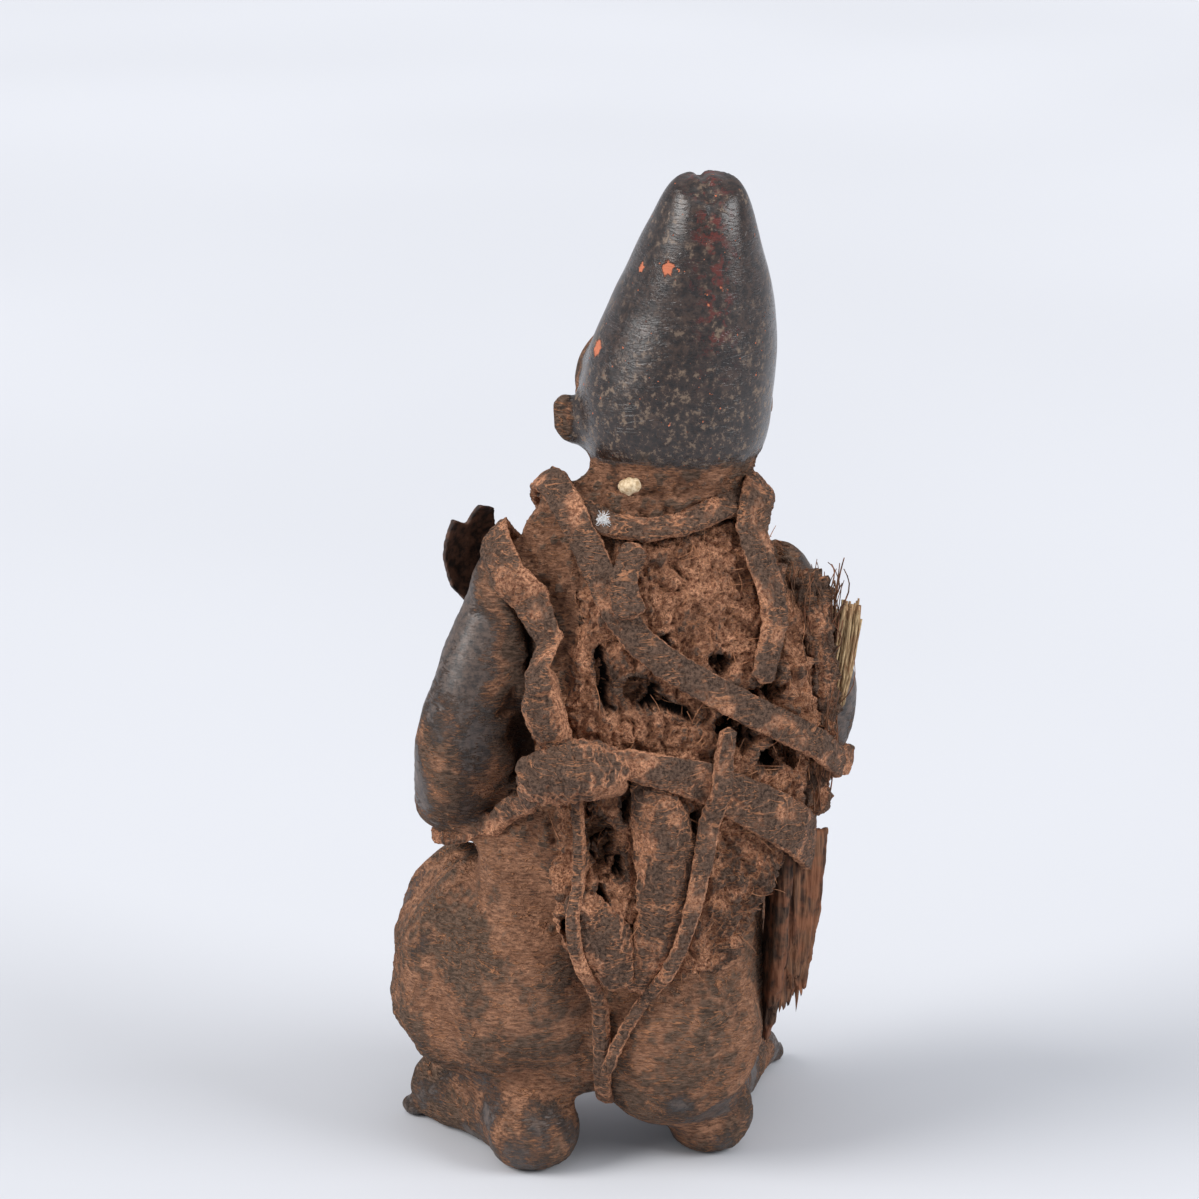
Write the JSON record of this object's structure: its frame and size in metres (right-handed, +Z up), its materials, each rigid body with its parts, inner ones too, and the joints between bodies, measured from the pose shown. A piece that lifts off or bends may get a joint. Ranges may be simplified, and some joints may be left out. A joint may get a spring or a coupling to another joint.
{
  "type": "bound crouching power figure",
  "caption": "Crouching figure with a tall pointed head, bound with earth-caked straps and hung with small bundles, straw and wood, standing on its feet.",
  "frame": {"origin": "on the surface it stands on, under the middle of its bounding box", "axes": "+Z up; the figure faces -Y and +X is its own left side"},
  "size_m": [0.157, 0.1322, 0.3357],
  "materials": {
    "burnished_clay": "dark burnished fired clay, semi-gloss on the head, caked with red earth on the limbs",
    "packed_earth": "matt red-brown earth packed with fibre, worn grey-brown where it stands proud",
    "strap": "cloth and fibre straps stiff with earth, matt, worn grey-brown along their backs",
    "bundle": "wrapped bundles caked with earth, matt and wrinkled",
    "fibre": "rolled bark fibre, matt and frayed",
    "straw": "dry split straws, pale tan",
    "wood": "weathered dark wood with a paler worn edge",
    "bark": "flaking bark, matt, with ragged lower edges",
    "gourd": "thin dark calabash shell, dull outside",
    "seed": "pale cream kernel, matt"
  },
  "bodies": {
    "root": {"figure": "burnished_clay", "earth_pack": "packed_earth", "collar": "strap", "cross_strap": "strap", "waist_wrap": "strap", "left_shoulder_strap": "strap", "right_shoulder_strap": "strap", "centre_strap": "strap", "crotch_strap": "strap", "loop_strap": "strap", "knot": "bundle", "side_bundle": "bundle", "pod": "bundle", "tongue": "bundle", "straw_bundle": "straw", "fibre_roll": "fibre", "board": "wood", "bark": "bark", "peg": "wood", "calabash_shard": "gourd", "kernel": "seed"}
  },
  "joints": []
}
